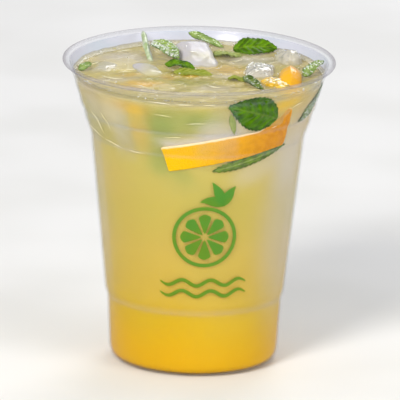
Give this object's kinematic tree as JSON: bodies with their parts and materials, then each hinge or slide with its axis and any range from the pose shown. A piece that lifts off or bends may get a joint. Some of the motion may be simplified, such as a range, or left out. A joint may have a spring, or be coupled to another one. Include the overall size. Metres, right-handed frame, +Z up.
{
  "type": "cup of mojito",
  "caption": "Clear disposable plastic cup of cloudy mojito over golden syrup, with ice, mint leaves and orange slices.",
  "frame": {"origin": "middle of the cup's foot ring, on the surface that it stands on", "axes": "+Z up along the cup's own axis, +X to the viewer's right, -Y towards the viewer"},
  "size_m": [0.098, 0.098, 0.1113],
  "materials": {
    "clear_plastic": "clear glossy moulded sheet with soft waves",
    "cloudy_drink": "cloudy pale yellow green liquid, wet surface",
    "golden_syrup": "golden syrup that fades upward into the drink",
    "ice": "wet half melted ice, milky inside",
    "mint_stem": "pale ribbed stem",
    "mint_leaf": "veined wrinkled mint leaf, wet",
    "orange_slice": "pored rind, pale pith and juicy flesh"
  },
  "bodies": {
    "root": {"cup": "clear_plastic", "drink": "cloudy_drink", "syrup": "golden_syrup", "ice_back_center": "ice", "ice_left": "ice", "ice_right": "ice", "ice_back_right": "ice", "ice_far_left": "ice", "mint_stem": "mint_stem", "mint_leaf_frosted": "mint_leaf", "mint_leaf_center": "mint_leaf", "mint_leaf_back": "mint_leaf", "mint_leaf_back_right": "mint_leaf", "mint_leaf_right_wall": "mint_leaf", "mint_leaf_far_left": "mint_leaf", "mint_leaf_glint": "mint_leaf", "mint_leaf_front": "mint_leaf", "mint_leaf_under_slice": "mint_leaf", "mint_leaf_right_edge": "mint_leaf", "orange_slice_front": "orange_slice", "orange_slice_top": "orange_slice"}
  },
  "joints": []
}
